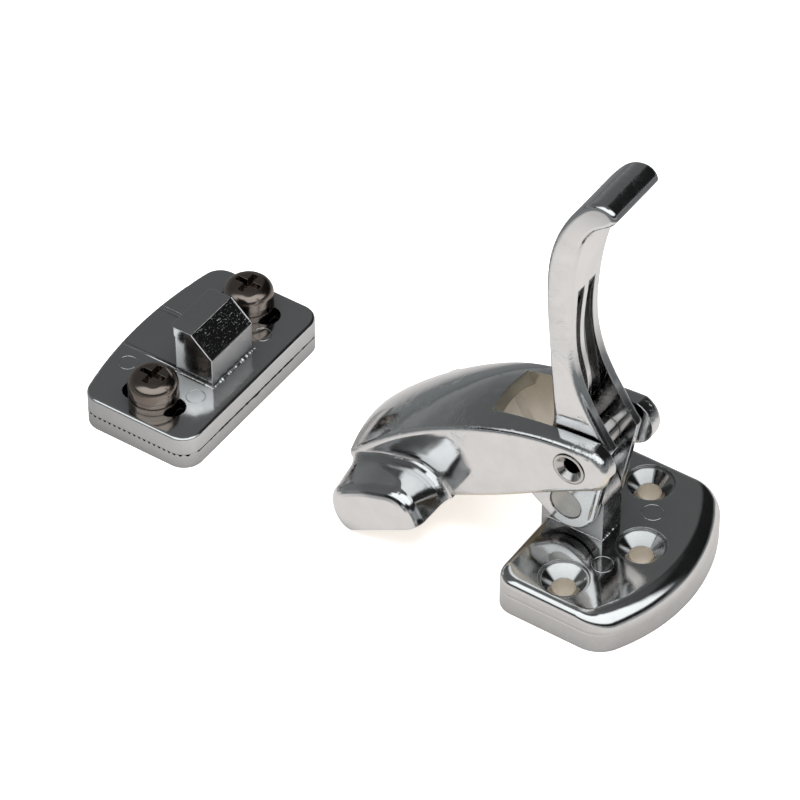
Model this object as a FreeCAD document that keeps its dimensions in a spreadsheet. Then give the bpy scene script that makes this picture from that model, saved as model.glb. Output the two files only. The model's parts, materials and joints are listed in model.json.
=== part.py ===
import FreeCAD, Part
import Sketcher
import math
import os
from FreeCAD import Rotation, Vector

# Toggle latch in plated die castings, with its separate keeper, in millimetres.
# X runs from the hook to the round side of the base plate, Y along the pins and Z up.
# The origin is on the underside of the base plate, straight below the lower pin.

SIZES = {
    # base plate
    "plate_rear": 7.0,
    "plate_half_width": 26.2,
    "plate_front": 29.3,
    "plate_thick": 10.0,
    "plate_bow": 45.5,
    "plate_rear_radius": 5.0,
    "plate_front_radius": 8.0,
    "plate_side_round": 2.1,
    "plate_front_round": 5.0,
    "post_half_thick": 3.9,
    "post_half_length": 8.0,
    "fixing_bore": 5.5,
    "fixing_sink": 10.4,
    "fixing_ring": 11.6,
    "fixing_ring_depth": 0.5,
    "side_hole_x": 7.1,
    "side_hole_edge": 8.0,
    "front_hole_x": 16.1,
    # handle, with heights measured from the lower pin
    "lower_pin_height": 19.9,
    "upper_pin_x": 3.6,
    "upper_pin_rise": 17.0,
    "cheek_half_width": 7.0,
    "cheek_thick": 2.85,
    "lug_radius": 7.2,
    "heel_x": 9.6,
    "toe_x": 11.0,
    "toe_rise": 21.2,
    "tip_x": 10.9,
    "tip_rise": 89.6,
    "tip_half_width": 8.8,
    "waist_half_width": 6.2,
    "waist_rise": 55.0,
    "rib_thick": 1.6,
    "channel_top_rise": 61.0,
    "handle_edge_radius": 1.2,
    # arm, along its own length from the upper pin
    "arm_droop": 29.4,
    "arm_half_width": 13.0,
    "ear_half_width": 12.0,
    "arm_bottom": 6.9,
    "arm_top": 12.3,
    "arm_summit": 29.0,
    "arm_wall": 3.0,
    "arm_front": 63.8,
    "arm_front_wall": 5.0,
    "arm_crown": 2.8,
    "arm_edge_radius": 1.8,
    "foot_edge_radius": 1.2,
    "nose_x": 3.3,
    "nose_radius": 6.2,
    "slot_half_width": 7.6,
    "slot_rear": 19.0,
    "wing_half_width": 25.2,
    "wing_root_radius": 3.2,
    "wing_rear": 39.4,
    "wing_edge_radius": 3.0,
    "wing_wall": 2.4,
    # rivets
    "pin_radius": 3.1,
    "pin_clearance": 0.06,
    "head_radius": 4.0,
    "head_depth": 1.4,
    "rivet_bore": 3.8,
    "dish_radius": 3.3,
    "dish_depth": 1.2,
    "upper_proud": 0.3,
    "lower_sunk": 0.25,
    # keeper
    "keeper_side_x": 87.5,
    "keeper_centre_y": 2.8,
    "keeper_half_width": 27.2,
    "keeper_short_side": 30.4,
    "keeper_bow": 106.0,
    "keeper_corner_radius": 5.0,
    "keeper_thick": 4.2,
    "striker_thick": 5.0,
    "tooth_pitch": 1.42,
    "tooth_height": 0.55,
    "adjust_inset": 15.7,
    "adjust_edge": 8.2,
    "adjust_travel": 10.2,
    "adjust_width": 6.6,
    "stud_inset": 6.9,
    "stud_length": 10.4,
    "stud_half_width": 8.0,
    "stud_height": 13.0,
    "stud_face_height": 7.7,
    "stud_slope_run": 5.8,
    "stud_lip": 1.4,
    "stud_corner_radius": 1.2,
    "band_depth": 0.3,
    "striker_rim_radius": 0.8,
    "keeper_fixing_x": 11.0,
    # keeper screws
    "screw_thread": 6.0,
    "thread_clearance": 0.05,
    "screw_head": 12.0,
    "screw_head_height": 4.6,
    "screw_rim_height": 1.6,
    "washer_thick": 1.6,
    "washer_outer": 12.0,
    "washer_bore": 6.4,
    "spring_washer_outer": 11.4,
    "spring_gap": 1.2,
    "recess_width": 1.5,
    "recess_span": 6.6,
    "recess_depth": 2.4,
    "screw_short": 0.4,
}

doc = FreeCAD.newDocument("ToggleLatch")
sheet = doc.addObject("Spreadsheet::Sheet", "Sizes")
for row, (word, value) in enumerate(SIZES.items(), 1):
    sheet.set(f"A{row}", word)
    sheet.set(f"B{row}", str(value))
    sheet.setAlias(f"B{row}", word)
doc.recompute()


def size(word):
    return float(getattr(sheet, word))


def worth(text):
    """The number that a sum of sheet words comes to."""
    return float(sheet.evalExpression(text))


def bind(thing, **sums):
    """Ties properties to sums of sheet words; two underscores stand for a dot."""
    for path, text in sums.items():
        thing.setExpression(path.replace("__", "."), text)
    return thing


def place(thing, x, y, z):
    return bind(thing, Placement__Base__x=x, Placement__Base__y=y, Placement__Base__z=z)


def cylinder(name, radius, height, x="0", y="0", z="0", along_y=False):
    made = doc.addObject("Part::Cylinder", name)
    if along_y:
        made.Placement.Rotation = Rotation(Vector(1, 0, 0), -90)
    return place(bind(made, Radius=radius, Height=height), x, y, z)


def cone(name, low_radius, high_radius, height, x="0", y="0", z="0", along_y=False):
    made = doc.addObject("Part::Cone", name)
    if along_y:
        made.Placement.Rotation = Rotation(Vector(1, 0, 0), -90)
    return place(bind(made, Radius1=low_radius, Radius2=high_radius, Height=height), x, y, z)


def block(name, length, width, height, x="0", y="0", z="0"):
    made = doc.addObject("Part::Box", name)
    return place(bind(made, Length=length, Width=width, Height=height), x, y, z)


def joined(name, pieces):
    made = doc.addObject("Part::MultiFuse", name)
    made.Shapes = pieces
    return made


def cut(name, base, tools):
    made = doc.addObject("Part::Cut", name)
    made.Base = base
    made.Tool = tools[0] if len(tools) == 1 else joined(name + "_tools", tools)
    return made


def casting(name, shape):
    """Holds a piece whose faces are curved both ways."""
    made = doc.addObject("Part::Feature", name)
    made.Shape = shape
    return made


def sketch_on(body, name, plane_role, corners, offset="0", bow=None):
    """A closed sketch through corners given as sums; bow is one side's index and radius."""
    sketch = body.newObject("Sketcher::SketchObject", name)
    plane = [feature for feature in body.Origin.OriginFeatures if feature.Role == plane_role][0]
    sketch.AttachmentSupport = [(plane, "")]
    sketch.MapMode = "FlatFace"
    bind(sketch, AttachmentOffset__Base__z=offset)
    points = [Vector(worth(a), worth(b), 0) for a, b in corners]
    count = len(points)
    for index, start in enumerate(points):
        end = points[(index + 1) % count]
        edge = Part.LineSegment(start, end)
        if bow and bow[0] == index:
            half = (end - start).Length / 2
            radius = worth(bow[1])
            outward = Vector(end.y - start.y, start.x - end.x, 0).normalize()
            rise = radius - math.sqrt(radius * radius - half * half)
            edge = Part.Arc(start, (start + end) * 0.5 + outward * rise, end)
        sketch.addGeometry(edge, False)
    for index, (a, b) in enumerate(corners):
        following = (index + 1) % count
        sketch.addConstraint(Sketcher.Constraint("Coincident", index, 2, following, 1))
        for kind, text, value in (("DistanceX", a, points[index].x), ("DistanceY", b, points[index].y)):
            number = sketch.addConstraint(Sketcher.Constraint(kind, -1, 1, index, 1, value))
            sketch.setExpression(f"Constraints[{number}]", text)
    if bow:
        number = sketch.addConstraint(Sketcher.Constraint("Radius", bow[0], worth(bow[1])))
        sketch.setExpression(f"Constraints[{number}]", bow[1])
    return sketch


def grow(body, kind, name, **sums):
    """Adds a sized feature to a body and builds it."""
    made = bind(body.newObject("PartDesign::" + kind, name), **sums)
    doc.recompute()
    return made


def pad(body, sketch, name, length, symmetric=False):
    made = body.newObject("PartDesign::Pad", name)
    made.Profile = sketch
    made.SideType = "Symmetric" if symmetric else "One side"
    bind(made, Length=length)
    doc.recompute()
    return made


def fillet(body, feature, name, radius, chosen):
    """Rounds the edges of a feature for which chosen(edge) is true."""
    edges = [f"Edge{i}" for i, edge in enumerate(feature.Shape.Edges, 1) if chosen(edge)]
    made = body.newObject("PartDesign::Fillet", name)
    made.Base = (feature, edges)
    bind(made, Radius=radius)
    doc.recompute()
    return made


def upright(edge):
    """True for an edge that stands along Z."""
    box = edge.BoundBox
    return box.ZLength > 0.1 and box.XLength < 1e-6 and box.YLength < 1e-6


def level_at(edge, height):
    box = edge.BoundBox
    return abs(box.ZMin - height) < 1e-6 and abs(box.ZMax - height) < 1e-6


def spline(points):
    curve = Part.BSplineCurve()
    curve.interpolate([Vector(*p) for p in points])
    return curve.toShape()


def polygon(points):
    return Part.makePolygon([Vector(*p) for p in points] + [Vector(*points[0])])


# Base plate: a thick casting with a bowed front, a soft top rim and three sunk screw holes.
# The post on it stands between the cheeks of the handle and carries the lower pin.
def plate_section(rise):
    """The plan at a height: the bowed front draws in sooner than the sides and rear."""
    side_radius, front_radius = size("plate_side_round"), size("plate_front_round")
    top = size("plate_thick")
    side_in = side_radius - math.sqrt(side_radius ** 2 - max(0.0, rise - top + side_radius) ** 2)
    front_in = front_radius - math.sqrt(front_radius ** 2 - max(0.0, rise - top + front_radius) ** 2)
    half, rear = size("plate_half_width") - side_in, side_in - size("plate_rear")
    bow = size("plate_bow") - front_in
    middle = size("plate_front") - size("plate_bow")
    rear_turn = size("plate_rear_radius") - side_in / 2
    turn = size("plate_front_radius") - (side_in + front_in) / 2
    centre = Vector(middle + math.sqrt((bow - turn) ** 2 - (half - turn) ** 2), half - turn, rise)
    outward = (centre - Vector(middle, 0, rise)).normalize()
    join = centre + outward * turn
    between = centre + (outward + Vector(0, 1, 0)).normalize() * turn
    diagonal = rear_turn * math.sqrt(0.5)

    def mirrored(point):
        return Vector(point.x, -point.y, point.z)

    side_end = Vector(centre.x, half, rise)
    side_start = Vector(rear + rear_turn, half, rise)
    rear_end = Vector(rear, half - rear_turn, rise)
    rear_between = Vector(rear + rear_turn - diagonal, half - rear_turn + diagonal, rise)
    edges = [Part.LineSegment(mirrored(side_start), mirrored(side_end)),
             Part.Arc(mirrored(side_end), mirrored(between), mirrored(join)),
             Part.Arc(mirrored(join), Vector(middle + bow, 0, rise), join),
             Part.Arc(join, between, side_end), Part.LineSegment(side_end, side_start),
             Part.Arc(side_start, rear_between, rear_end), Part.LineSegment(rear_end, mirrored(rear_end)),
             Part.Arc(mirrored(rear_end), mirrored(rear_between), mirrored(side_start))]
    return Part.Wire([edge.toShape() for edge in edges])


def plate_shape():
    curve = size("plate_front_round")
    straight = size("plate_thick") - curve
    heights = [straight + curve * math.sin(math.radians(step * 10)) for step in range(10)]
    crown = Part.makeLoft([plate_section(rise) for rise in heights], True, False)
    return Part.Face(plate_section(0)).extrude(Vector(0, 0, straight)).fuse(crown).removeSplitter()


base_plate = doc.addObject("PartDesign::Body", "base_plate")
base_plate.BaseFeature = casting("plate_casting", plate_shape())
grow(base_plate, "AdditiveBox", "post",
     Length="2 * Sizes.post_half_length",
     Width="2 * Sizes.post_half_thick",
     Height="Sizes.lower_pin_height - Sizes.plate_thick / 2",
     Placement__Base__x="-Sizes.post_half_length",
     Placement__Base__y="-Sizes.post_half_thick",
     Placement__Base__z="Sizes.plate_thick / 2")
post_top = base_plate.newObject("PartDesign::AdditiveCylinder", "post_top")
post_top.Placement.Rotation = Rotation(Vector(1, 0, 0), -90)
bind(post_top, Radius="Sizes.post_half_length", Height="2 * Sizes.post_half_thick",
     Placement__Base__y="-Sizes.post_half_thick", Placement__Base__z="Sizes.lower_pin_height")
doc.recompute()
fixings = [("near", "Sizes.side_hole_x", "Sizes.side_hole_edge - Sizes.plate_half_width"),
           ("front", "Sizes.front_hole_x", "0"),
           ("far", "Sizes.side_hole_x", "Sizes.plate_half_width - Sizes.side_hole_edge")]
for where, x, y in fixings:
    grow(base_plate, "SubtractiveCylinder", f"{where}_bore", Radius="Sizes.fixing_bore / 2",
         Height="Sizes.plate_thick", Placement__Base__x=x, Placement__Base__y=y)
    sink_depth = "(Sizes.fixing_sink - Sizes.fixing_bore) / 2"
    grow(base_plate, "SubtractiveCone", f"{where}_sink", Radius1="Sizes.fixing_bore / 2",
         Radius2="Sizes.fixing_sink / 2", Height=sink_depth,
         Placement__Base__x=x, Placement__Base__y=y,
         Placement__Base__z=f"Sizes.plate_thick - Sizes.fixing_ring_depth - {sink_depth}")
    grow(base_plate, "SubtractiveCylinder", f"{where}_ring", Radius="Sizes.fixing_ring / 2",
         Height="Sizes.fixing_ring_depth", Placement__Base__x=x, Placement__Base__y=y,
         Placement__Base__z="Sizes.plate_thick - Sizes.fixing_ring_depth")
pin_bore = base_plate.newObject("PartDesign::SubtractiveCylinder", "post_pin_bore")
pin_bore.Placement.Rotation = Rotation(Vector(1, 0, 0), -90)
bind(pin_bore, Radius="Sizes.pin_radius", Height="4 * Sizes.post_half_thick",
     Placement__Base__y="-2 * Sizes.post_half_thick", Placement__Base__z="Sizes.lower_pin_height")
doc.recompute()


# Handle: one curved lever with a channel open to the front, a rib down its middle and two
# cheeks that straddle the post. Its heights are measured from the lower pin.
def handle_outline():
    """The side view, at Y = 0, with the lower pin at the origin."""
    lug = size("lug_radius")
    toe = Vector(size("toe_x"), 0, size("toe_rise"))
    heel = Vector(-size("heel_x"), 0, -1.8)
    front_angle = math.atan2(toe.z, toe.x) - math.acos(lug / toe.Length)
    rear_angle = math.atan2(heel.z, heel.x) + 2 * math.pi + math.acos(lug / heel.Length)
    front_foot = Vector(lug * math.cos(front_angle), 0, lug * math.sin(front_angle))
    rear_foot = Vector(lug * math.cos(rear_angle), 0, lug * math.sin(rear_angle))
    tip_x, tip = size("tip_x"), size("tip_rise")
    back = spline([tuple(heel), (-9.4, 0, 5.0), (-6.6, 0, 14.0), (-4.3, 0, 23.0), (-4.7, 0, 31.0),
                   (-6.0, 0, 42.5), (-7.1, 0, 53.0), (-7.3, 0, 61.5), (-6.0, 0, 72.0), (-2.9, 0, 81.0),
                   (1.5, 0, 88.6), (5.2, 0, 91.9), (8.5, 0, 92.2), (tip_x, 0, tip)])
    front = spline([(tip_x, 0, tip), (10.0, 0, 88.0), (6.4, 0, 84.9), (2.9, 0, 79.6), (0.9, 0, 73.0),
                    (-0.3, 0, 66.0), (-0.9, 0, 58.0), (-1.0, 0, 50.0), (-0.2, 0, 43.0),
                    (1.9, 0, 36.0), (5.6, 0, 29.0), tuple(toe)])
    lug_arc = Part.Arc(front_foot, Vector(0, 0, -lug), rear_foot).toShape()
    return Part.Wire([back, front, Part.makeLine(toe, front_foot), lug_arc, Part.makeLine(rear_foot, heel)])


def handle_width(inset, low):
    """The front view as a solid: how far the handle reaches along Y at each height."""
    cheek = size("cheek_half_width") - inset
    waist = size("waist_half_width") - inset
    tip = size("tip_half_width") - inset
    rise, top = size("waist_rise"), size("tip_rise")
    side = [(-30, cheek, 0), (-30, cheek, size("toe_rise")), (-30, (cheek + waist) / 2, rise * 0.72),
            (-30, waist, rise), (-30, waist * 0.3 + tip * 0.7, top - 11), (-30, tip, top - 3), (-30, tip, top + 6)]
    right = spline(side[1:])
    left = spline([(x, -y, z) for x, y, z in side[1:]])
    below = [Vector(-30, -cheek, size("toe_rise")), Vector(-30, -cheek, low),
             Vector(-30, cheek, low), Vector(-30, cheek, size("toe_rise"))]
    roof = Part.makeLine(Vector(-30, tip, top + 6), Vector(-30, -tip, top + 6))
    wire = Part.Wire([right, roof, left, Part.makePolygon(below)])
    return Part.Face(wire).extrude(Vector(60, 0, 0))


def between_cheeks():
    """The channel: what lies in front of the back wall, up to where the channel runs out."""
    top = size("channel_top_rise")
    floor = spline([(-6.4, 0, 9.0), (-3.6, 0, 15.5), (-1.2, 0, 24.0), (-1.8, 0, 33.0), (-2.9, 0, 42.0),
                    (-3.3, 0, 50.0), (-2.6, 0, 56.0), (-0.6, 0, top)])
    edge = [Vector(-0.6, 0, top), Vector(30, 0, top), Vector(30, 0, -20), Vector(-30, 0, -20),
            Vector(-30, 0, 9.0), Vector(-6.4, 0, 9.0)]
    face = Part.Face(Part.Wire([floor, Part.makePolygon(edge)]))
    face.translate(Vector(0, -20, 0))
    return face.extrude(Vector(0, 40, 0)).common(handle_width(size("cheek_thick"), -20))


def handle_rib():
    front = spline([(-0.6, 0, 61.5), (-1.2, 0, 55.0), (-1.5, 0, 47.0), (-0.9, 0, 41.0),
                    (0.4, 0, 36.0), (1.0, 0, 31.0), (-0.2, 0, 26.0), (-1.6, 0, 23.5)])
    back = [Vector(-1.6, 0, 23.5), Vector(-3.5, 0, 24.0), Vector(-5.0, 0, 50.0), Vector(-0.6, 0, 61.5)]
    face = Part.Face(Part.Wire([front, Part.makePolygon(back)]))
    face.translate(Vector(0, -size("rib_thick") / 2, 0))
    return face.extrude(Vector(0, size("rib_thick"), 0))


def pin_hole(x, z, face_y, radius, head, depth):
    """A hole along Y with a cone-shaped seat for each rivet head, clear outward from its face."""
    hole = Part.makeCylinder(radius, 60, Vector(x, -30, z), Vector(0, 1, 0))
    for side in (-1, 1):
        seat = Part.makeCone(head, radius, depth, Vector(x, side * face_y, z), Vector(0, -side, 0))
        mouth = Part.makeCylinder(head, depth, Vector(x, side * face_y, z), Vector(0, side, 0))
        hole = hole.fuse(seat).fuse(mouth)
    return hole


def handle_shape():
    outline = Part.Face(handle_outline())
    outline.translate(Vector(0, -20, 0))
    blank = outline.extrude(Vector(0, 40, 0)).common(handle_width(0, -20))
    edges = [edge for edge in blank.Edges if edge.BoundBox.XLength + edge.BoundBox.ZLength > 0.5]
    body = blank.makeFillet(size("handle_edge_radius"), edges)
    body = body.cut(between_cheeks()).fuse(handle_rib().common(blank))
    hole = size("pin_radius") + size("pin_clearance")
    head = size("head_radius") + 2 * size("pin_clearance")
    rivet_end = size("cheek_half_width") - size("lower_sunk")
    body = body.cut(pin_hole(0, 0, rivet_end, hole, head, size("head_depth")))
    upper = Part.makeCylinder(hole, 60, Vector(size("upper_pin_x"), -30, size("upper_pin_rise")), Vector(0, 1, 0))
    return body.cut(upper)


handle = casting("handle", handle_shape())
place(handle, "0", "0", "Sizes.lower_pin_height")


# Rivets: the lower one is solid and fixed in the post, the upper one is hollow. Both have
# cone-shaped heads that sit in the sunk seats of the outermost faces.
def rivet(name, half_length, x, z):
    """A shank along Y with a head at each end, as one fused primitive."""
    inner = f"{half_length} - Sizes.head_depth"
    shank = cylinder(f"{name}_shank", "Sizes.pin_radius", f"2 * ({half_length})",
                     x, f"-({half_length})", z, along_y=True)
    near = cone(f"{name}_near_head", "Sizes.head_radius", "Sizes.pin_radius", "Sizes.head_depth",
                x, f"-({half_length})", z, along_y=True)
    far = cone(f"{name}_far_head", "Sizes.pin_radius", "Sizes.head_radius", "Sizes.head_depth",
               x, inner, z, along_y=True)
    return joined(name, [shank, near, far])


lower_rivet = rivet("lower_rivet", "Sizes.cheek_half_width - Sizes.lower_sunk", "0", "Sizes.lower_pin_height")
upper_z = "Sizes.lower_pin_height + Sizes.upper_pin_rise"
upper_end = "Sizes.ear_half_width + Sizes.upper_proud"
upper_solid = rivet("upper_rivet_solid", upper_end, "Sizes.upper_pin_x", upper_z)
upper_bore = cylinder("upper_rivet_bore", "Sizes.rivet_bore / 2", f"2 * ({upper_end})",
                      "Sizes.upper_pin_x", f"-({upper_end})", upper_z, along_y=True)
near_dish = cone("upper_rivet_near_dish", "Sizes.dish_radius", "Sizes.rivet_bore / 2", "Sizes.dish_depth",
                 "Sizes.upper_pin_x", f"-({upper_end})", upper_z, along_y=True)
far_dish = cone("upper_rivet_far_dish", "Sizes.rivet_bore / 2", "Sizes.dish_radius", "Sizes.dish_depth",
                "Sizes.upper_pin_x", f"{upper_end} - Sizes.dish_depth", upper_z, along_y=True)
upper_rivet = cut("upper_rivet", upper_solid, [upper_bore, near_dish, far_dish])


# Latch arm: a humped hollow casting, forked at the handle end, with a wing on each side of
# its front. It is drawn lying along its own bottom plane, from the upper pin.
def arm_crease(along):
    """Height of the edge between side wall and crowned top."""
    gap = along + size("arm_summit")
    bow = 80.0 if gap > 0 else 97.0
    return size("arm_top") - (bow - math.sqrt(bow * bow - gap * gap))


def arm_section(along, half_width, crown, low, drop):
    """A closed section across the arm: flat foot, upright sides and an arched top."""
    edge = arm_crease(along) - drop
    corners = [Vector(along, half_width, edge), Vector(along, half_width, low),
               Vector(along, -half_width, low), Vector(along, -half_width, edge)]
    arch = Part.Arc(corners[3], Vector(along, 0, edge + crown), corners[0]).toShape()
    return Part.Wire([arch, *Part.makePolygon(corners).Edges])


def arm_blank():
    low = -size("arm_bottom")
    wide = size("arm_half_width")
    ear = size("ear_half_width")
    crown = size("arm_crown")
    stations = [(-66.0, wide, crown), (-50.0, wide, crown), (-36.0, wide, crown), (-23.0, wide, crown),
                (-12.0, ear + 0.3, 1.5), (-2.0, ear, 0.5), (12.0, ear, 0.3)]
    hull = Part.makeLoft([arm_section(x, y, c, low, 0) for x, y, c in stations], True, False)
    nose = size("nose_radius")
    middle = Vector(size("nose_x"), 0, low + nose)
    front = -size("arm_front")
    start = Vector(middle.x, 0, low)
    end = middle + Vector(nose * math.sin(0.18), 0, nose * math.cos(0.18))
    arc = Part.Arc(start, middle + Vector(nose, 0, 0), end).toShape()
    toe = size("foot_edge_radius")
    above = Part.makePolygon([end, Vector(end.x, 0, 30), Vector(front, 0, 30), Vector(front, 0, low + toe)])
    cut_back = toe * (1 - math.sqrt(0.5))
    foot = Part.Arc(Vector(front, 0, low + toe), Vector(front + cut_back, 0, low + cut_back), Vector(front + toe, 0, low))
    under = Part.makeLine(Vector(front + toe, 0, low), start)
    side = Part.Face(Part.Wire([arc, *above.Edges, foot.toShape(), under]))
    side.translate(Vector(0, -20, 0))
    return hull.common(side.extrude(Vector(0, 40, 0)))


def wing_section(across, points, scale, flare):
    """A closed section of a wing, shrunk by scale towards its foot and raised by flare."""
    low = -size("arm_bottom")
    middle = -52.0
    drawn = [(-62.6, low), *points, (-size("wing_rear") - 0.2, low)]
    ends = [(middle + (x - middle) * scale * (flare if x > middle else 1), low + (z - low) * scale * flare)
            for x, z in drawn]
    top = spline([(x, across, z) for x, z in ends])
    foot = Part.makeLine(Vector(ends[-1][0], across, low), Vector(ends[0][0], across, low))
    return Part.Wire([top, foot])


def wings():
    root = [(-63.2, -4.5), (-63.3, -0.5), (-62.9, 3.2), (-61.0, 5.0), (-57.5, 5.2), (-53.0, 4.8),
            (-48.5, 3.8), (-43.2, 2.0), (-40.6, -0.9), (-39.7, -4.0)]
    end = [(-64.2, -4.6), (-64.3, -1.7), (-63.2, 1.5), (-60.6, 3.7), (-56.5, 4.4), (-51.3, 4.3),
           (-45.6, 3.4), (-41.6, 2.1), (-40.0, -0.4), (-39.7, -3.7)]
    reach = size("wing_half_width")
    wall = size("arm_half_width")
    soft = size("wing_edge_radius")
    blend_out = size("wing_root_radius")
    stations = [(wall - 2, 1.0, 1.13)]
    for step in range(6):
        turn = math.radians(step * 18)
        stations.append((wall + blend_out * (1 - math.cos(turn)), 1.0, 1.13 - 0.13 * math.sin(turn)))
    for step in range(7):
        turn = math.radians(step * 15)
        stations.append((reach - soft * (1 - math.sin(turn)), 1 - soft / 11.5 * (1 - math.cos(turn)), 1.0))
    parts = []
    for side in (-1, 1):
        sections = []
        for across, scale, flare in stations:
            blend = min(1.0, max(0.0, (across - wall) / (reach - soft - wall)))
            mixed = [(a[0] + (b[0] - a[0]) * blend, a[1] + (b[1] - a[1]) * blend) for a, b in zip(root, end)]
            sections.append(wing_section(side * across, mixed, scale, flare))
        parts.append(Part.makeLoft(sections, True, True))
    return parts


def arm_cavities():
    wall = size("arm_wall")
    inner = size("arm_half_width") - wall
    slot = size("slot_half_width")
    front = -size("arm_front") + size("arm_front_wall")
    rear = -size("slot_rear")
    crown = size("arm_crown")
    stations = [(front, inner), (-45.0, inner), (-30.0, inner), (-24.5, slot), (rear + 1, slot)]
    hollow = Part.makeLoft([arm_section(x, y, crown * 0.6, -30, wall - 1) for x, y in stations], True, True)
    fork = Part.makeBox(60, 2 * slot, 80, Vector(rear, -slot, -40))
    cuts = [hollow, fork]
    reach = size("wing_half_width") - size("wing_wall")
    outline = [(-61.4, -30), (-61.4, -1.6), (-59.6, 0.9), (-56.0, 1.9), (-51.0, 1.8), (-46.0, 0.9),
               (-42.4, -0.6), (-42.2, -30)]
    near = Part.Face(polygon([(x, -reach, z) for x, z in outline]))
    pocket = near.extrude(Vector(0, reach - size("arm_half_width"), 0))
    cuts.append(pocket)
    cuts.append(pocket.mirror(Vector(0, 0, 0), Vector(0, 1, 0)))
    return cuts


def arm_shape():
    blank = arm_blank()
    ear = size("ear_half_width")
    front = -size("arm_front")
    low = -size("arm_bottom")

    def at_front(edge):
        return abs(edge.BoundBox.XMin - front) < 0.01 and abs(edge.BoundBox.XMax - front) < 0.01

    def at_foot(edge):
        return edge.BoundBox.ZMax < low + size("foot_edge_radius") + 0.01

    def round_nose(edge):
        box = edge.BoundBox
        return box.XMin > size("nose_x") - 0.1 and box.ZMin < low + 0.1 and box.YMin * box.YMax > 0

    def crease(edge):
        return edge.Length > size("arm_front") - 10

    soft = [edge for edge in blank.Edges if not at_foot(edge) and (at_front(edge) or round_nose(edge) or crease(edge))]
    blank = blank.makeFillet(size("arm_edge_radius"), soft)
    near, far = wings()
    body = blank.fuse([near, far])
    for tool in arm_cavities():
        body = body.cut(tool)
    hole = size("pin_radius") + size("pin_clearance")
    head = size("head_radius") + 2 * size("pin_clearance")
    return body.cut(pin_hole(0, 0, ear + size("upper_proud"), hole, head, size("head_depth")))


latch_arm = casting("latch_arm", arm_shape())
latch_arm.Placement.Rotation = Rotation(Vector(0, 1, 0), -size("arm_droop"))
place(latch_arm, "Sizes.upper_pin_x", "0", upper_z)


# Keeper: a toothed plate that is screwed down, and the striker plate that grips its teeth.
# Both have one bowed side, away from the arm.
def keeper_plan(body, name, height):
    near_y = "-Sizes.keeper_centre_y - Sizes.keeper_half_width"
    far_y = "-Sizes.keeper_centre_y + Sizes.keeper_half_width"
    bowed_x = "-Sizes.keeper_side_x - Sizes.keeper_short_side"
    corners = [("-Sizes.keeper_side_x", near_y), ("-Sizes.keeper_side_x", far_y), (bowed_x, far_y), (bowed_x, near_y)]
    return sketch_on(body, name, "XY_Plane", corners, height, (2, "Sizes.keeper_bow"))


keeper_base = doc.addObject("PartDesign::Body", "keeper_base")
toothed = pad(keeper_base, keeper_plan(keeper_base, "toothed_plan", "0"), "toothed_plate", "Sizes.keeper_thick")
toothed = fillet(keeper_base, toothed, "toothed_corners", "Sizes.keeper_corner_radius", upright)
groove_start = "-Sizes.keeper_side_x - Sizes.tooth_pitch"
groove_plan = sketch_on(keeper_base, "groove_plan", "XZ_Plane", [
    (f"{groove_start} - Sizes.tooth_pitch * 0.1", "Sizes.keeper_thick - Sizes.tooth_height"),
    (f"{groove_start} + Sizes.tooth_pitch * 0.1", "Sizes.keeper_thick - Sizes.tooth_height"),
    (f"{groove_start} + Sizes.tooth_pitch * 0.38", "Sizes.keeper_thick + 0.1"),
    (f"{groove_start} - Sizes.tooth_pitch * 0.38", "Sizes.keeper_thick + 0.1"),
], "Sizes.keeper_centre_y")
groove = keeper_base.newObject("PartDesign::Pocket", "groove")
groove.Profile = groove_plan
groove.Midplane = True
bind(groove, Length="2 * Sizes.keeper_half_width + 2")
doc.recompute()
teeth = keeper_base.newObject("PartDesign::LinearPattern", "teeth")
teeth.Originals = [groove]
teeth.Direction = (groove_plan, ["H_Axis"])
teeth.Reversed = True
bind(teeth, Length="22 * Sizes.tooth_pitch")
teeth.Occurrences = 23
keeper_base.Tip = teeth
doc.recompute()
clamp_x = "-Sizes.keeper_side_x - Sizes.adjust_inset"
clamp_reach = "Sizes.keeper_half_width - Sizes.adjust_edge"
clamp_points = [("near", f"-Sizes.keeper_centre_y - ({clamp_reach})"),
                ("far", f"-Sizes.keeper_centre_y + ({clamp_reach})")]
for where, y in clamp_points:
    grow(keeper_base, "SubtractiveCylinder", f"{where}_thread", Radius="Sizes.screw_thread / 2 + Sizes.thread_clearance",
         Height="Sizes.keeper_thick", Placement__Base__x=clamp_x, Placement__Base__y=y)
for where, shift in (("rear", "Sizes.keeper_fixing_x"), ("front", "-Sizes.keeper_fixing_x")):
    x = f"{clamp_x} + {shift}"
    grow(keeper_base, "SubtractiveCylinder", f"{where}_fixing", Radius="Sizes.fixing_bore / 2",
         Height="Sizes.keeper_thick", Placement__Base__x=x, Placement__Base__y="-Sizes.keeper_centre_y")
    sink_depth = "(Sizes.fixing_sink - Sizes.fixing_bore) / 2"
    grow(keeper_base, "SubtractiveCone", f"{where}_fixing_sink", Radius1="Sizes.fixing_bore / 2",
         Radius2="Sizes.fixing_sink / 2", Height=sink_depth,
         Placement__Base__x=x, Placement__Base__y="-Sizes.keeper_centre_y",
         Placement__Base__z=f"Sizes.keeper_thick - {sink_depth}")

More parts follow.
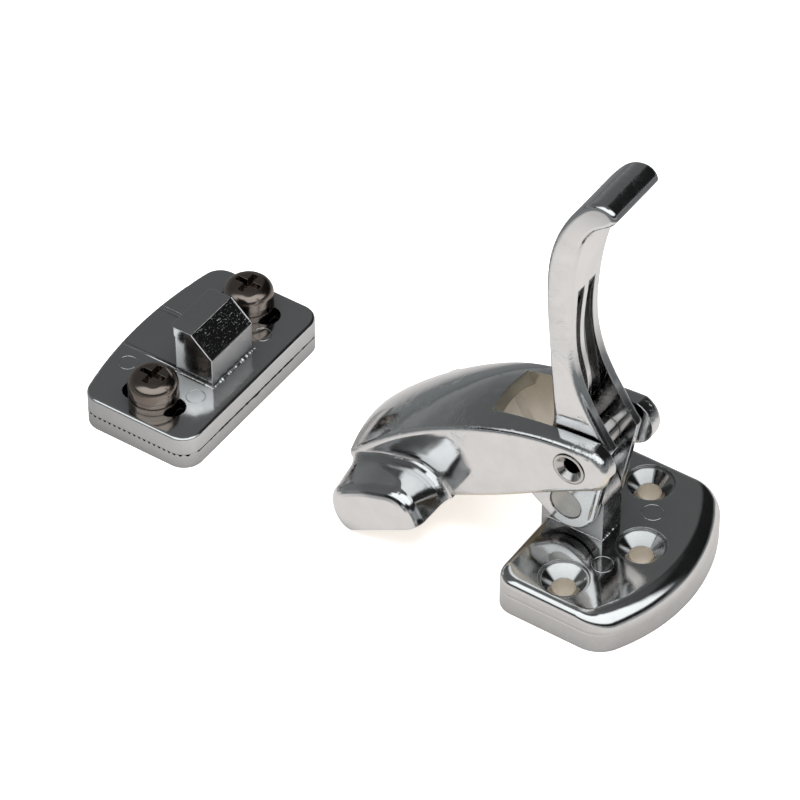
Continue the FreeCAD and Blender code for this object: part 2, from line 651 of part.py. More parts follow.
striker = doc.addObject("PartDesign::Body", "striker")
plate_top = "Sizes.keeper_thick + Sizes.striker_thick"
striker_plate = pad(striker, keeper_plan(striker, "striker_plan", "Sizes.keeper_thick"), "striker_plate",
                    "Sizes.striker_thick")
striker_plate = fillet(striker, striker_plate, "striker_corners", "Sizes.keeper_corner_radius", upright)
striker_plate = fillet(striker, striker_plate, "striker_rim", "Sizes.striker_rim_radius",
                       lambda edge: level_at(edge, worth(plate_top)))
stud_front = "-Sizes.keeper_side_x - Sizes.stud_inset"
stud_rear = f"{stud_front} - Sizes.stud_length"
grow(striker, "SubtractiveBox", "band",
     Length="Sizes.keeper_short_side", Width="2 * Sizes.stud_half_width", Height="2 * Sizes.band_depth",
     Placement__Base__x=f"{stud_rear} - Sizes.keeper_short_side",
     Placement__Base__y="-Sizes.keeper_centre_y - Sizes.stud_half_width",
     Placement__Base__z=f"{plate_top} - Sizes.band_depth")
stud_top = f"{plate_top} + Sizes.stud_height"
stud_plan = sketch_on(striker, "stud_plan", "XZ_Plane", [
    (stud_rear, f"{plate_top} - 1"),
    (stud_front, f"{plate_top} - 1"),
    (stud_front, f"{plate_top} + Sizes.stud_face_height"),
    (f"{stud_front} - Sizes.stud_slope_run", stud_top),
    (f"{stud_rear} - Sizes.stud_lip", stud_top),
    (f"{stud_rear} - Sizes.stud_lip", f"{stud_top} - Sizes.stud_lip"),
    (stud_rear, f"{stud_top} - 2 * Sizes.stud_lip"),
], "Sizes.keeper_centre_y")
stud = pad(striker, stud_plan, "stud", "2 * Sizes.stud_half_width", symmetric=True)
stud = fillet(striker, stud, "stud_lip_corners", "Sizes.stud_corner_radius",
              lambda edge: upright(edge) and edge.BoundBox.XMax < worth(stud_rear) - 0.5
              and edge.BoundBox.ZMin > worth(plate_top) + 2)
for where, y in clamp_points:
    half_travel = "Sizes.adjust_travel / 2"
    grow(striker, "SubtractiveBox", f"{where}_slot",
         Length="Sizes.adjust_travel", Width="Sizes.adjust_width", Height="Sizes.striker_thick",
         Placement__Base__x=f"{clamp_x} - {half_travel}",
         Placement__Base__y=f"{y} - Sizes.adjust_width / 2",
         Placement__Base__z="Sizes.keeper_thick")
    for end, shift in (("rear", half_travel), ("front", f"-{half_travel}")):
        grow(striker, "SubtractiveCylinder", f"{where}_slot_{end}", Radius="Sizes.adjust_width / 2",
             Height="Sizes.striker_thick", Placement__Base__x=f"{clamp_x} + {shift}",
             Placement__Base__y=y, Placement__Base__z="Sizes.keeper_thick")


# Keeper screws: each has a pan head with a cross recess, on a spring washer and a flat washer.
def clamp_screw(name, y):
    body = doc.addObject("PartDesign::Body", name)
    place(body, clamp_x, y, f"{plate_top} + 2 * Sizes.washer_thick")
    grow(body, "AdditiveCylinder", f"{name}_head", Radius="Sizes.screw_head / 2", Height="Sizes.screw_head_height")
    fillet(body, body.Tip, f"{name}_crown", "Sizes.screw_head_height - Sizes.screw_rim_height",
           lambda edge: level_at(edge, size("screw_head_height")))
    grow(body, "AdditiveCylinder", f"{name}_shank", Radius="Sizes.screw_thread / 2",
         Height=f"{plate_top} + 2 * Sizes.washer_thick - Sizes.screw_short",
         Placement__Base__z=f"-({plate_top} + 2 * Sizes.washer_thick - Sizes.screw_short)")
    for turn, length, width in (("long", "Sizes.recess_span", "Sizes.recess_width"),
                                ("cross", "Sizes.recess_width", "Sizes.recess_span")):
        grow(body, "SubtractiveBox", f"{name}_{turn}_recess", Length=length, Width=width,
             Height="Sizes.recess_depth + 1",
             Placement__Base__x=f"-{length} / 2", Placement__Base__y=f"-{width} / 2",
             Placement__Base__z="Sizes.screw_head_height - Sizes.recess_depth")
    return body


def flat_washer(name, y):
    ring = cylinder(f"{name}_disc", "Sizes.washer_outer / 2", "Sizes.washer_thick", clamp_x, y, plate_top)
    hole = cylinder(f"{name}_hole", "Sizes.washer_bore / 2", "Sizes.washer_thick", clamp_x, y, plate_top)
    return cut(name, ring, [hole])


def spring_washer(name, y):
    height = f"{plate_top} + Sizes.washer_thick"
    ring = cylinder(f"{name}_disc", "Sizes.spring_washer_outer / 2", "Sizes.washer_thick",
                    clamp_x, y, height)
    hole = cylinder(f"{name}_hole", "Sizes.washer_bore / 2", "Sizes.washer_thick", clamp_x, y, height)
    split = block(f"{name}_split", "Sizes.spring_washer_outer / 2", "Sizes.spring_gap", "Sizes.washer_thick",
                  clamp_x, f"{y} - Sizes.spring_gap / 2", height)
    return cut(name, ring, [hole, split])


nodes = {"base_plate": base_plate, "lower_rivet": lower_rivet, "handle": handle, "upper_rivet": upper_rivet,
         "latch_arm": latch_arm, "keeper_base": keeper_base, "striker": striker}
for where, y in clamp_points:
    nodes[f"screw_{where}"] = clamp_screw(f"screw_{where}", y)
    nodes[f"flat_washer_{where}"] = flat_washer(f"flat_washer_{where}", y)
    nodes[f"spring_washer_{where}"] = spring_washer(f"spring_washer_{where}", y)

doc.recompute()
for item in doc.Objects:
    if "Invalid" in item.State or "Error" in item.State:
        raise RuntimeError(f"{item.Name} did not build")
os.makedirs("parts", exist_ok=True)
for name, item in nodes.items():
    item.Label = name
    shape = item.Shape
    if shape.isNull() or not shape.isValid() or len(shape.Solids) != 1:
        raise RuntimeError(f"{name} is not one valid solid: {len(shape.Solids)}")
    shape.exportStep(f"parts/{name}.step")
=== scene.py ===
import json
import math

import bpy
from mathutils import Matrix, Vector, noise


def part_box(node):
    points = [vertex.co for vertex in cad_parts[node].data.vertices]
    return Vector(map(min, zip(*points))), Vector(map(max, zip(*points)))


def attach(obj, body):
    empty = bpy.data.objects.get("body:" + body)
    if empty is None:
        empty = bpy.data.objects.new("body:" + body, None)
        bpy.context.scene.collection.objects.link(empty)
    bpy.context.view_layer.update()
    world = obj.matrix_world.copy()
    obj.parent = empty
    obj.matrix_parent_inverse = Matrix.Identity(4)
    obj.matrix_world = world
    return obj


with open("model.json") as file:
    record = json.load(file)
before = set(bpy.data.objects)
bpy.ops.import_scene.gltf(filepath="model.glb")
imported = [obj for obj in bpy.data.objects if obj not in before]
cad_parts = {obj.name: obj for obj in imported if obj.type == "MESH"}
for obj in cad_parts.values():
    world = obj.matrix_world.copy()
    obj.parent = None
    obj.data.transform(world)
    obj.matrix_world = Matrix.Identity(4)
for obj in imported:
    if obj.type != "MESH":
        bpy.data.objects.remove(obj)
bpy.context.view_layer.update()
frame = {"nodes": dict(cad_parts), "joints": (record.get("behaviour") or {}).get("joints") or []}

# Table top: a sheet of warm white card that the parts stand on. In the plating's gloss it shows
# a painted pool of light, bright close to the parts and falling off towards the room, which is what the
# upright plated sides mirror.
TABLE_HALF = 4.0
BRIGHT_MIDDLE = (0.02, -0.01, 0.0)
BRIGHT_REACH, DIM_REACH = 0.085, 0.18
PAINTED_POOL_BRIGHT = (0.74, 0.715, 0.70, 1.0)
PAINTED_POOL_DIM = (0.17, 0.18, 0.185, 1.0)
data = bpy.data
scene = bpy.context.scene
table_mesh = data.meshes.new("table_top")
table_mesh.from_pydata([(x * TABLE_HALF, y * TABLE_HALF, 0) for x, y in ((-1, -1), (1, -1), (1, 1), (-1, 1))],
                       [], [(0, 1, 2, 3)])
table_top = data.objects.new("table_top", table_mesh)
scene.collection.objects.link(table_top)


def node_sheet(owner):
    """Empties the node tree of a material or a room, and returns what adds a node to it."""
    owner.use_nodes = True
    tree = owner.node_tree
    tree.nodes.clear()

    def add(kind, *in_order, **named):
        """Adds a node and fills its inputs, in order or by name. Small-letter names are settings."""
        node = tree.nodes.new("ShaderNode" + kind)
        filled = list(zip(node.inputs, in_order))
        for name, value in named.items():
            if name.islower():
                setattr(node, name, value)
            else:
                filled.append((node.inputs[name.replace("_", " ")], value))
        for slot, value in filled:
            if isinstance(value, bpy.types.NodeSocket):
                tree.links.new(value, slot)
            else:
                slot.default_value = value
        return node

    return add


table_card = data.materials.new("table_card")
card_node = node_sheet(table_card)
card = card_node("BsdfDiffuse", Color=(0.86, 0.88, 0.92, 1.0))
glow = card_node("Emission", Color=(0.70, 0.65, 0.59, 1.0), Strength=1.0)
lit_card = card_node("AddShader", card.outputs[0], glow.outputs[0])
# Painted pool of light: in the gloss, the card's colour and glow fade from bright near the parts to dim
# towards the room.
spot = card_node("TexCoord").outputs["Object"]
away = card_node("VectorMath", spot, BRIGHT_MIDDLE, operation="DISTANCE").outputs["Value"]
fade = card_node("MapRange", Value=away, From_Min=BRIGHT_REACH, From_Max=DIM_REACH, To_Min=0.0, To_Max=1.0)
painted_pool_tone = card_node("MixRGB", fade.outputs[0], PAINTED_POOL_BRIGHT, PAINTED_POOL_DIM).outputs[0]
shaded_card = card_node("BsdfDiffuse", Color=painted_pool_tone)
painted_pool_glow = card_node("Emission", Color=painted_pool_tone, Strength=0.84)
mirrored_card = card_node("MixShader", 0.5, shaded_card.outputs[0], painted_pool_glow.outputs[0])
rays = card_node("LightPath").outputs
unseen_card = card_node("MixShader", rays["Is Glossy Ray"], card.outputs[0], mirrored_card.outputs[0])
whole_card = card_node("MixShader", rays["Is Camera Ray"], unseen_card.outputs[0], lit_card.outputs[0])
card_node("OutputMaterial", whole_card.outputs[0])
table_mesh.materials.append(table_card)

# Room: even white for the eye. In the plating's gloss it has a black gap above the table's
# edge, one long soft box on the camera's side, a dark side on the right and grey walls.
OVERHEAD = 90
world = data.worlds.new("studio_room")
scene.world = world
room_node = node_sheet(world)
look = room_node("SeparateXYZ", room_node("TexCoord").outputs["Generated"]).outputs
height = room_node("Math", look["Z"], operation="ARCSINE").outputs[0]
climb = room_node("Math", height, math.radians(OVERHEAD), operation="DIVIDE").outputs[0]
bearing = room_node("Math", look["Y"], look["X"], operation="ARCTAN2").outputs[0]


def wall_grey(grey):
    """A grey of the room's walls, a little bluer than neutral."""
    return (grey * 0.96, grey, grey * 1.02, 1.0)


def wall_tones(foot, overhead, *between):
    """A wall's greys: at the table's edge, overhead and, as (degrees, grey), between the two."""
    ramp = room_node("ValToRGB", climb)
    tones = ramp.color_ramp
    tones.interpolation = "EASE"
    tones.elements[0].color = wall_grey(foot)
    tones.elements[-1].color = wall_grey(overhead)
    for degrees, grey in between:
        tones.elements.new(degrees / OVERHEAD).color = wall_grey(grey)
    return ramp.outputs["Color"]


def wall_reach(middle, full, gone):
    """How much of a wall is met at a bearing, in degrees: all within full, none beyond gone."""
    turned = room_node("Math", bearing, math.radians(middle), operation="SUBTRACT").outputs[0]
    wrapped = room_node("Math", turned, math.pi, -math.pi, operation="WRAP").outputs[0]
    off = room_node("Math", wrapped, operation="ABSOLUTE").outputs[0]
    return room_node("MapRange", Value=off, From_Min=math.radians(gone), From_Max=math.radians(full),
                     interpolation_type="SMOOTHSTEP").outputs[0]


back_wall = wall_tones(0.25, 0.24, (10, 0.17), (25, 0.125), (43, 0.11), (60, 0.13), (76, 0.16))
dark_side = wall_tones(0.3, 0.2, (4, 0.08), (8, 0.01), (48, 0.012), (60, 0.08), (75, 0.12))
soft_box = wall_tones(0.5, 0.2, (4, 0.3), (7, 0.012), (19, 0.02), (26, 1.25), (70, 1.35), (77, 0.03),
                      (83, 0.05))
walls = room_node("MixRGB", wall_reach(68, 28, 44), back_wall, dark_side).outputs[0]
walls = room_node("MixRGB", wall_reach(-56, 76, 92), walls, soft_box).outputs[0]
in_plating = room_node("Background", Color=walls, Strength=1.0)
on_paint = room_node("Background", Color=(1.0, 1.0, 1.0, 1.0), Strength=0.62)
to_the_eye = room_node("Background", Color=(1.0, 1.0, 1.0, 1.0), Strength=1.0)
path = room_node("LightPath").outputs
unseen_room = room_node("MixShader", path["Is Glossy Ray"], on_paint.outputs[0], in_plating.outputs[0])
whole_room = room_node("MixShader", path["Is Camera Ray"], unseen_room.outputs[0], to_the_eye.outputs[0])
room_node("OutputWorld", whole_room.outputs[0])

# Lamps: two soft discs, one overhead and one from the left, for the table and the faint
# shadow under the arm. The plating doesn't mirror them.
LIT_PLACE = Vector((-0.03, 0.0, 0.02))
LAMPS = {"lamp_overhead": {"place": (0.1, -0.1, 0.9), "width": 0.6, "watts": 7.0},
         "lamp_left": {"place": (-0.7, -0.5, 0.6), "width": 0.5, "watts": 3.0}}
for name, lamp in LAMPS.items():
    disc = data.lights.new(name, "AREA")
    disc.shape = "DISK"
    disc.size = lamp["width"]
    disc.energy = lamp["watts"]
    stand = data.objects.new(name, disc)
    stand.location = lamp["place"]
    stand.rotation_euler = (LIT_PLACE - stand.location).to_track_quat("-Z", "Y").to_euler()
    stand.visible_glossy = False
    scene.collection.objects.link(stand)

# Camera: a long lens at the photograph's angle, 43.5 degrees above the table and 34 degrees
# round from the front. Its place follows from the distance to the foot of the post.
VIEW_AROUND = math.radians(34.0)
VIEW_ABOVE = math.radians(43.5)
FOCAL_PIXELS = 4500.0
PICTURE_SIDE = 800.0
SENSOR_WIDTH = 36.0
DISTANCE = 1.02
AIM_PIXEL = (582.7, 549.7)
AIM_POINT = Vector((0.0008, 0.0, 0.0))
to_right = Vector((math.cos(VIEW_AROUND), math.sin(VIEW_AROUND), 0.0))
forward = Vector((-math.sin(VIEW_AROUND) * math.cos(VIEW_ABOVE),
                  math.cos(VIEW_AROUND) * math.cos(VIEW_ABOVE), -math.sin(VIEW_ABOVE)))
upward = to_right.cross(forward)
aim_right, aim_down = ((pixel - PICTURE_SIDE / 2) / FOCAL_PIXELS for pixel in AIM_PIXEL)
sight = forward + to_right * aim_right - upward * aim_down
lens = data.cameras.new("camera")
lens.sensor_width = SENSOR_WIDTH
lens.lens = FOCAL_PIXELS / PICTURE_SIDE * SENSOR_WIDTH
lens.clip_start = 0.05
camera = data.objects.new("camera", lens)
turned = Matrix((to_right, upward, -forward)).transposed().to_4x4()
camera.matrix_world = Matrix.Translation(AIM_POINT - sight * DISTANCE) @ turned
scene.collection.objects.link(camera)
scene.camera = camera
scene.view_settings.view_transform = "Standard"

# Base plate: a zinc die casting with its post cast on, polished and chrome plated, held down
# by three countersunk screws. Its top shows the round marks of the pins that pushed it out
# of the mould, and the post's front was left rough under its plating.
PLATE_TOP = 0.010
POST_REAR, POST_FRONT = -0.0075, 0.008
POST_HALF = 0.0039
BORE_RADIUS = 0.00275
SINK_FOOT = 0.0071
FIXINGS = ((0.0071, -0.0182), (0.0161, 0.0), (0.0071, 0.0182))
HAIR = 0.0001
SQUARE_ON, MOSTLY_ON, SLANTED, EDGE_ON = 0.9, 0.7, 0.3, 0.1
PLATE_MARKS = {"near": (0.0120, -0.0099), "far": (0.0126, 0.0103)}
PLATE_MARK_WIDTH = 0.005
RING_STEPS = 48
RING_THICK, RING_UNEVEN, RING_LUMPS = 0.00009, 0.00004, 900
BEAD_STEP, THINNEST_BEAD = 0.0002, 0.00008
BEAD_BENDS, BEAD_LUMPS, LUMPS_APART = 1500, 2300, Vector((7, 1, 3))


def plating(name, tint, gloss, wave, smudge, edge=0.0004, painted_shade=0.3, reach=0.007,
            scuffs=0.0, pits=0.0, scores=0.0):
    """A plated or bare metal finish of one tint, whose edges look rounded by edge.

    gloss is how rough its clean face is and smudge what a fingered patch adds to that. wave,
    scuffs, pits and scores are how deep its waves, rubbed places, pits and scratches are. In corners,
    where faces lie within reach of each other, painted shade darkens the colour down to a given share.
    """
    finish = data.materials.new(name)
    node = node_sheet(finish)
    place = node("TexCoord").outputs["Object"]

    def pattern(per_metre, detail, roughness=0.5, at=place):
        return node("TexNoise", Scale=per_metre, Detail=detail, Roughness=roughness, Vector=at).outputs["Fac"]

    def stepped(source, start, end, low=0.0, high=1.0):
        return node("MapRange", source, start, end, low, high).outputs[0]

    def raised(below, heights, depth, strength=1.0):
        return node("Bump", Strength=strength, Distance=depth, Height=heights, Normal=below).outputs[0]

    def darkened(colour, shade):
        return node("MixRGB", 1.0, colour, shade, blend_type="MULTIPLY").outputs[0]

    smudges = pattern(160.0, detail=5.0, roughness=0.65)
    patches = stepped(smudges, 0.42, 0.72, low=gloss, high=gloss + smudge)
    grit = pattern(1800.0, detail=4.0, roughness=0.6)
    roughness = node("Math", grit, 0.04, patches, operation="MULTIPLY_ADD").outputs[0]
    smudged = darkened((*tint, 1.0), stepped(smudges, 0.3, 0.8, low=1.0, high=0.9))
    # Painted shade: ambient occlusion darkens the colour in corners, in recesses and under things.
    corners = node("AmbientOcclusion", samples=6, Distance=reach).outputs["AO"]
    corner_shaded = darkened(smudged, stepped(corners, 0.15, 0.85, low=painted_shade))

    rounded = node("Bevel", samples=6, Radius=edge).outputs[0]
    drawn = node("Mapping", Vector=place, Scale=(300.0, 4000.0, 300.0)).outputs[0]
    normal = raised(rounded, pattern(95.0, detail=2.0), wave)
    normal = raised(normal, pattern(1.0, detail=3.0, at=drawn), 0.00002, strength=0.12)
    specks = pattern(2600.0, detail=3.0, roughness=0.7)
    if scuffs:
        worn = stepped(pattern(75.0, detail=6.0, roughness=0.75), 0.56, 0.66)
        normal = raised(normal, node("Math", worn, specks, operation="MULTIPLY").outputs[0], scuffs)
    if pits:
        normal = raised(normal, specks, pits)
    if scores:
        normal = raised(normal, stepped(specks, 0.66, 0.76), scores)
        strokes = node("Mapping", Vector=place, Rotation=(0.3, 0.5, 0.9), Scale=(500.0, 500.0, 6000.0))
        streaks = pattern(1.0, detail=1.0, at=strokes.outputs[0])
        normal = raised(normal, stepped(streaks, 0.7, 0.76), scores)
    metal = node("BsdfPrincipled", Base_Color=corner_shaded, Metallic=1.0, Roughness=roughness, Normal=normal)
    node("OutputMaterial", metal.outputs[0])
    return finish


plate_chrome = plating("plate_chrome", (0.76, 0.76, 0.755), gloss=0.06, wave=0.00012, smudge=0.07,
                       painted_shade=0.2, reach=0.03)
# Painted highlight: the beads' plating is a lighter tint than the plates', so the thin beads and the rims
# along the stud's edges read as bright lines.
bead_chrome_painted_highlight = plating("bead_chrome_painted_highlight", (0.9, 0.9, 0.9), gloss=0.12, wave=0.00005, smudge=0.1,
                      edge=0.00005, painted_shade=0.8)
# Painted light: the walls of the screw holes are a pale cream that stands in for light coming up through the
# holes.
bore_painted_light = plating("bore_painted_light", (0.98, 0.93, 0.84), gloss=0.5, wave=0.0001, smudge=0.1, painted_shade=1.0)
post_rough = plating("post_rough_chrome", (0.6, 0.6, 0.6), gloss=0.12, wave=0.0003, smudge=0.1,
                     pits=0.00005, scores=0.0002)


def dress(name, plated, *others):
    """Plates a piece. Each of others is a finish, and a test for the faces that have it instead."""
    mesh = frame["nodes"][name].data
    mesh.materials.clear()
    mesh.materials.append(plated)
    for finish, takes in others:
        mesh.materials.append(finish)
    for face in mesh.polygons:
        face.material_index = 0
        for index, (finish, takes) in enumerate(others, 1):
            if takes(face.center, face.normal):
                face.material_index = index


def post_front(at, facing):
    """Whether a face is on the rough front of the post."""
    return abs(at.y) < POST_HALF and at.z > PLATE_TOP + 2 * HAIR and facing.x > MOSTLY_ON


def bore_wall(at, facing):
    """Whether a face is on the straight wall of a screw hole, under its sink."""
    in_a_bore = any(math.hypot(at.x - x, at.y - y) < BORE_RADIUS + HAIR for x, y in FIXINGS)
    return in_a_bore and at.z < SINK_FOOT and abs(facing.z) < EDGE_ON


def fixed_piece(name, corners, faces, material, slot):
    """A small piece of mesh that belongs to the plates, with the finish it is given."""
    mesh = data.meshes.new(name)
    mesh.from_pydata(corners, [], faces)
    mesh.materials.append(material)
    mesh.shade_smooth()
    piece = data.objects.new(name, mesh)
    scene.collection.objects.link(piece)
    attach(piece, "base")


def tube(points, radii, around=8, closed=False):
    """Corners and faces of a tube that follows points, with a radius at each."""
    corners, faces = [], []
    last = len(points) - 1
    for index, point in enumerate(points):
        after = points[(index + 1) % len(points)] if closed else points[min(index + 1, last)]
        before = points[index - 1] if closed else points[max(index - 1, 0)]
        along = (after - before).normalized()
        side = along.cross(Vector((0, 0, 1))).normalized()
        over = side.cross(along)
        for step in range(around):
            turn = 2 * math.pi * step / around
            corners.append(point + radii[index] * (side * math.cos(turn) + over * math.sin(turn)))
    for index in range(len(points) if closed else last):
        ring, next_ring = index * around, (index + 1) % len(points) * around
        for step in range(around):
            beside = (step + 1) % around
            faces.append((ring + step, ring + beside, next_ring + beside, next_ring + step))
    if not closed:
        faces.append(tuple(reversed(range(around))))
        faces.append(tuple(last * around + step for step in range(around)))
    return corners, faces


def pushed_mark(name, middle, width, slot):
    """The thin ring that an ejector pin of the mould leaves, a hair proud of the face."""
    points, radii = [], []
    for step in range(RING_STEPS):
        turn = 2 * math.pi * step / RING_STEPS
        points.append(Vector(middle) + width / 2 * Vector((math.cos(turn), math.sin(turn), 0)))
        radii.append(RING_THICK + RING_UNEVEN * noise.noise(points[-1] * RING_LUMPS))
    fixed_piece(name, *tube(points, radii, closed=True), bead_chrome_painted_highlight, slot)


def rough_bead(name, start, end, thick, uneven, slot, material=bead_chrome_painted_highlight):
    """A lumpy bead of metal where the mould's halves met, thinner at its two ends."""
    start, end = Vector(start), Vector(end)
    steps = int((end - start).length / BEAD_STEP)
    points, radii = [], []
    for step in range(steps + 1):
        share = step / steps
        point = start.lerp(end, share)
        lift = uneven * 0.5 * noise.noise(point * BEAD_BENDS)
        lump = uneven * noise.noise(point * BEAD_LUMPS + LUMPS_APART)
        taper = min(1.0, 4 * share + 0.3, 4 * (1 - share) + 0.3)
        points.append(point + Vector((0, 0, lift)))
        radii.append(max(THINNEST_BEAD, thick * taper + lump))
    fixed_piece(name, *tube(points, radii), material, slot)


dress("base_plate", plate_chrome, (post_rough, post_front), (bore_painted_light, bore_wall))
for where, at in PLATE_MARKS.items():
    pushed_mark(f"plate_mark_{where}", (*at, PLATE_TOP), PLATE_MARK_WIDTH, "plate_chrome")
for where, y in (("near", -POST_HALF), ("far", POST_HALF)):
    rough_bead(f"post_bead_{where}", (POST_REAR, y, PLATE_TOP), (POST_FRONT, y, PLATE_TOP),
               thick=0.00022, uneven=0.00012, slot="plate_chrome")
rough_bead("post_bead_front", (POST_FRONT, -POST_HALF, PLATE_TOP), (POST_FRONT, POST_HALF, PLATE_TOP),
           thick=0.0003, uneven=0.0002, slot="plate_chrome")

# Lower pin: a solid steel rivet through both cheeks of the handle and the post, its heads
# set into the cheeks and plated with them.
pin_chrome = plating("pin_chrome", (0.5, 0.49, 0.465), gloss=0.24, wave=0.0003, smudge=0.12)
dress("lower_rivet", pin_chrome)

# Handle: a curved zinc lever, plated all over and scuffed where hands and tools rub it. A
# channel with a rib down its middle is open to the front, and two cheeks straddle the post.
handle_chrome = plating("handle_chrome", (0.80, 0.80, 0.80), gloss=0.06, wave=0.00016, smudge=0.07,
                        scuffs=0.00006)
dress("handle", handle_chrome)

# Upper pin: a hollow steel rivet through the handle and the arm's two ears, with dished ends.
# Its plating is duller than the castings'.
hollow_pin_chrome = plating("hollow_pin_chrome", (0.62, 0.6, 0.58), gloss=0.13, wave=0.0002, smudge=0.08)
dress("upper_rivet", hollow_pin_chrome)

# Latch arm: a hollow humped zinc casting, forked for the handle and hung on the upper pin,
# with a hooded wing on each side of its front. It is polished and plated outside, and its
# hollows are pale metal as they were cast.
LEVELLED = Matrix.Rotation(math.radians(29.4), 3, "Y")
UPPER_PIN = next(Vector(joint["pos_m"]) for joint in frame["joints"] if joint["name"] == "arm_swing")
HUMP_HALF = 0.0103
ARM_FOOT = -0.0067
FRONT_WALL, EAR_FRONT = -0.060, 0.002


def inside_arm(at, facing):
    """Whether a face of the arm is in its hollow, in its fork or in a wing's pocket."""
    along, out = LEVELLED @ (at - UPPER_PIN), LEVELLED @ facing
    if along.z < ARM_FOOT or along.x < FRONT_WALL or out.z > SLANTED:
        return False
    if abs(at.y) > HUMP_HALF:
        return out.z < -SLANTED
    return along.x < EAR_FRONT


arm_chrome = plating("arm_chrome", (0.78, 0.78, 0.78), gloss=0.06, wave=0.00012, smudge=0.06,
                     scuffs=0.00009)
arm_inside = plating("arm_inside_cast", (0.92, 0.86, 0.75), gloss=0.32, wave=0.0002, smudge=0.12, painted_shade=0.9)
dress("latch_arm", arm_chrome, (arm_inside, inside_arm))

# Toothed plate: the keeper's lower half, cast flat with a row of teeth on its top, screwed
# to the frame and plated. The grooves between its teeth are near black with painted shade.
TEETH_DEPTH = 0.0006
keeper_low, keeper_high = (Vector(corner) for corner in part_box("keeper_base"))
teeth_top = keeper_high.z
teeth_foot = teeth_top - TEETH_DEPTH
keeper_chrome = plating("keeper_chrome", (0.76, 0.76, 0.76), gloss=0.08, wave=0.00014, smudge=0.07,
                        edge=0.0003, reach=0.012)
# Painted shade: a near-black finish for the grooves between the teeth and for the seam where the striker sits
# on the toothed plate.
painted_gap_shade = plating("painted_gap_shade", (0.03, 0.028, 0.026), gloss=0.5, wave=0.0003, smudge=0.1)


def in_a_groove(at, facing):
    """Whether a face is on a flank or the floor of a groove between two teeth."""
    flank = at.z < teeth_top + HAIR and abs(facing.y) < EDGE_ON and abs(facing.x) > SLANTED
    floor = at.z < teeth_top - 3 * HAIR and facing.z > SQUARE_ON
    return at.z > teeth_foot and (flank or floor)


dress("keeper_base", keeper_chrome, (painted_gap_shade, in_a_groove))

# Striker: the keeper's upper half, a plated zinc casting clamped on the teeth by two screws,
# with a hooked stud that the arm catches. Use has scratched the stud's slope, its front is
# pitted as cast, and beads of metal stand where the mould's parts met.
STRIKER_THICK = 0.005
STUD_INSET, STUD_LENGTH, STUD_HALF_WIDTH = 0.0069, 0.0104, 0.008
STUD_FACE_HEIGHT, STUD_SLOPE_RUN = 0.0077, 0.0058
STUD_FOOT_HEIGHT = 0.004
STRIKER_MARKS = {"left": (-0.1155, -0.0153), "near": (-0.0956, -0.0158), "far": (-0.0951, 0.0101)}
STRIKER_MARK_WIDTH = 0.0045
BEAD_OFFSET, BEAD_FAR_END, BEAD_REAR_END = 0.0006, 0.0008, 0.0004
SEAM_INSET = 0.0038
BAND_END = -0.1205
BAND_DEPTH, BAND_SLOPE_WIDTH = 0.0003, 0.0013
striker_top = teeth_top + STRIKER_THICK
stud_front = keeper_high.x - STUD_INSET
stud_rear = stud_front - STUD_LENGTH
stud_ridge = stud_front - STUD_SLOPE_RUN
stud_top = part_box("striker")[1][2]
stud_face_top = striker_top + STUD_FACE_HEIGHT
keeper_middle = (keeper_low.y + keeper_high.y) / 2
stud_near, stud_far = keeper_middle - STUD_HALF_WIDTH, keeper_middle + STUD_HALF_WIDTH


def stud_slope(at, facing):
    """Whether a face is on the stud's sloping side."""
    on_stud = at.z > striker_top + STUD_FOOT_HEIGHT and stud_near < at.y < stud_far
    return on_stud and SLANTED < facing.x < SQUARE_ON


def stud_face(at, facing):
    """Whether a face is on the stud's upright front."""
    return facing.x > SQUARE_ON and at.z > striker_top and abs(at.x - stud_front) < 3 * HAIR


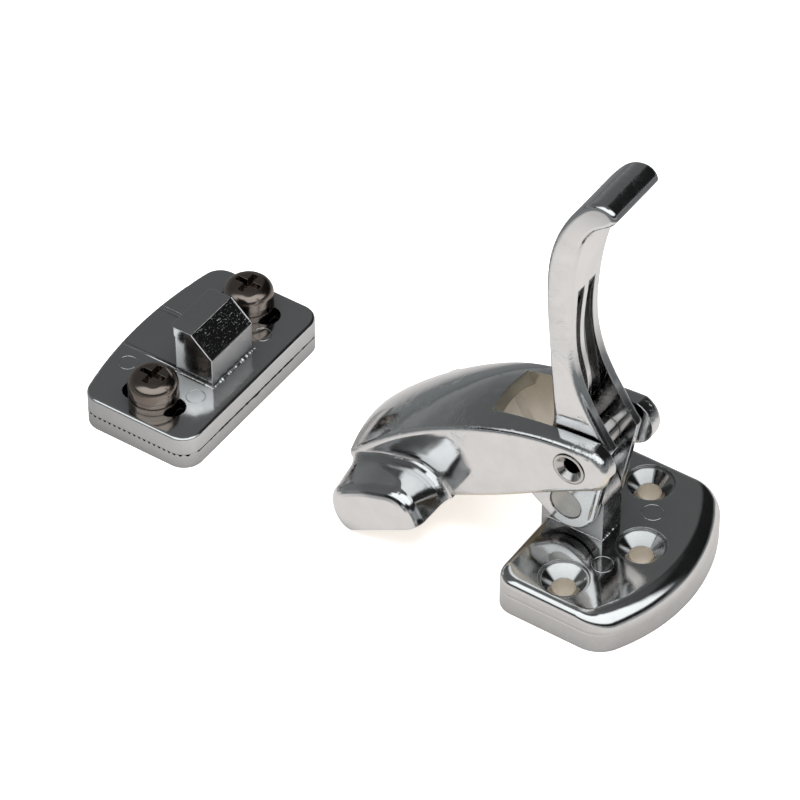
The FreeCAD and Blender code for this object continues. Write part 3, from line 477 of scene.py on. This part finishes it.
slope_scratched = plating("stud_slope_chrome", (0.7, 0.7, 0.7), gloss=0.04, wave=0.0001, smudge=0.03,
                          scores=0.00025)
front_pitted = plating("stud_front_chrome", (0.9, 0.9, 0.9), gloss=0.3, wave=0.0001, smudge=0.1, pits=0.0002)
dress("striker", keeper_chrome, (slope_scratched, stud_slope), (front_pitted, stud_face))
for where, at in STRIKER_MARKS.items():
    pushed_mark(f"striker_mark_{where}", (*at, striker_top), STRIKER_MARK_WIDTH, "keeper_chrome")
bead_x, bead_y = stud_front + BEAD_OFFSET, stud_near - BEAD_OFFSET
rough_bead("stud_bead_front", (bead_x, bead_y, striker_top), (bead_x, stud_far + BEAD_FAR_END, striker_top),
           thick=0.00045, uneven=0.0003, slot="keeper_chrome")
rough_bead("stud_bead_near", (stud_rear - BEAD_REAR_END, bead_y, striker_top), (bead_x, bead_y, striker_top),
           thick=0.00042, uneven=0.00006, slot="keeper_chrome")
slope_foot = [(stud_front, y, stud_face_top) for y in (stud_near, stud_far)]
slope_head = [(stud_ridge, y, stud_top) for y in (stud_near, stud_far)]
stud_edges = {"near": (slope_foot[0], slope_head[0]), "far": (slope_foot[1], slope_head[1]),
              "foot": slope_foot, "ridge": slope_head}
for where, (start, end) in stud_edges.items():
    rough_bead(f"stud_edge_{where}", start, end, thick=0.00017, uneven=0.00004, slot="keeper_chrome")
# Painted shade: a near-black bead along the seam between the toothed plate and the striker stands in for the
# shade in the gap.
seam_near, seam_far = keeper_low.y + SEAM_INSET, keeper_high.y - SEAM_INSET
rough_bead("keeper_seam_painted_shade", (keeper_high.x, seam_near, teeth_top), (keeper_high.x, seam_far, teeth_top),
           thick=0.00016, uneven=0.00016, slot="keeper_chrome", material=painted_gap_shade)
band_floor = striker_top - BAND_DEPTH
wedge_faces = [(0, 1, 4, 3), (1, 2, 5, 4), (2, 0, 3, 5), (0, 2, 1), (3, 4, 5)]
for where, y, inward in (("near", stud_near, 1), ("far", stud_far, -1)):
    profile = [(y, striker_top), (y + inward * BAND_SLOPE_WIDTH, band_floor), (y, band_floor - HAIR)]
    corners = [(x, across, z) for x in (BAND_END, stud_rear) for across, z in profile]
    fixed_piece(f"band_slope_{where}", corners, wedge_faces, keeper_chrome, "keeper_chrome")

# Keeper screws: two pan-head steel screws with cross recesses, each on a split spring washer
# and a flat washer. Their nickel finish is darker and browner than the chrome.
screw_nickel = plating("screw_nickel", (0.29, 0.245, 0.215), gloss=0.15, wave=0.0002, smudge=0.1,
                       edge=0.0003, painted_shade=0.75)
for where in ("near", "far"):
    for piece in ("screw", "flat_washer", "spring_washer"):
        dress(f"{piece}_{where}", screw_nickel)
